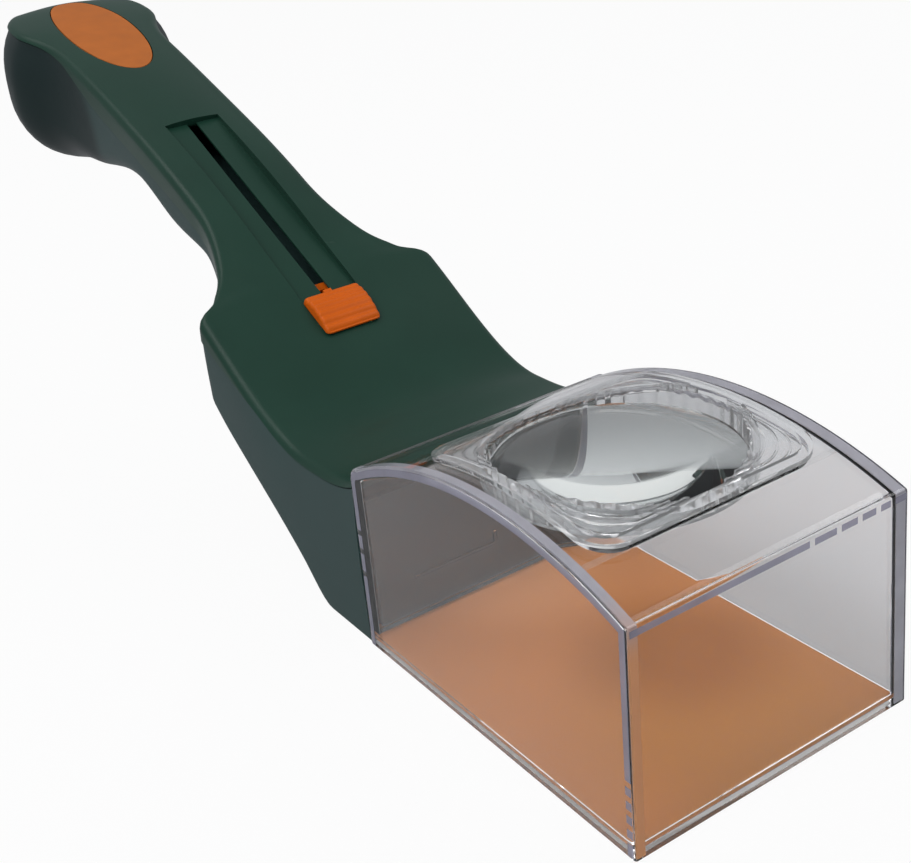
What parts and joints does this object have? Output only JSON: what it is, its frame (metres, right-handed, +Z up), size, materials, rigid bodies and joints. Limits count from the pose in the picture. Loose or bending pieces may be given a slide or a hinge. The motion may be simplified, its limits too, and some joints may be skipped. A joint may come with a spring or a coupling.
{
  "type": "insect catcher",
  "caption": "Hand-held insect catcher: clear box with a magnifier in its arched roof, a sliding trap door underneath and a dark green handle with a thumb slider.",
  "frame": {"origin": "middle of the bounding box at the bottom, on the surface that the box and the foot of the housing stand on", "axes": "+X from the handle towards the box's front wall, +Y across the box, +Z up"},
  "size_m": [0.2852, 0.061, 0.1058],
  "materials": {
    "clear_plastic": "clear, polished",
    "green_plastic": "satin",
    "dark_green_plastic": "satin",
    "orange_pad": "matte",
    "orange_plastic": "satin",
    "door_sheet": "satin",
    "inner_plastic": "matte",
    "screw_steel": "plated"
  },
  "bodies": {
    "housing": {"catch_box": "clear_plastic", "magnifier_lens": "clear_plastic", "bulkhead": "dark_green_plastic", "upper_shell": "green_plastic", "lower_shell": "dark_green_plastic", "thumb_pad": "orange_pad", "guide_plate": "inner_plastic", "trap_door_strap": "door_sheet", "shell_screw_1": "screw_steel", "shell_screw_2": "screw_steel", "shell_screw_3": "screw_steel", "shell_screw_4": "screw_steel"},
    "slider": {"slider_button": "orange_plastic", "slider_shoe": "orange_plastic", "trap_door_hook": "door_sheet"},
    "trap_door": {"trap_door_panel": "door_sheet"}
  },
  "joints": [
    {"name": "slider_slide", "type": "slide", "parent": "housing", "child": "slider", "axis": [-0.8957, 0, 0.4446], "range_m": [0, 0.065]},
    {"name": "door_slide", "type": "slide", "parent": "housing", "child": "trap_door", "axis": [-1, 0, 0], "range_m": [0, 0.065], "deforming": ["trap_door_panel"]}
  ],
  "couplings": [
    {"joint": "door_slide", "follows": "slider_slide", "ratio": 1}
  ]
}
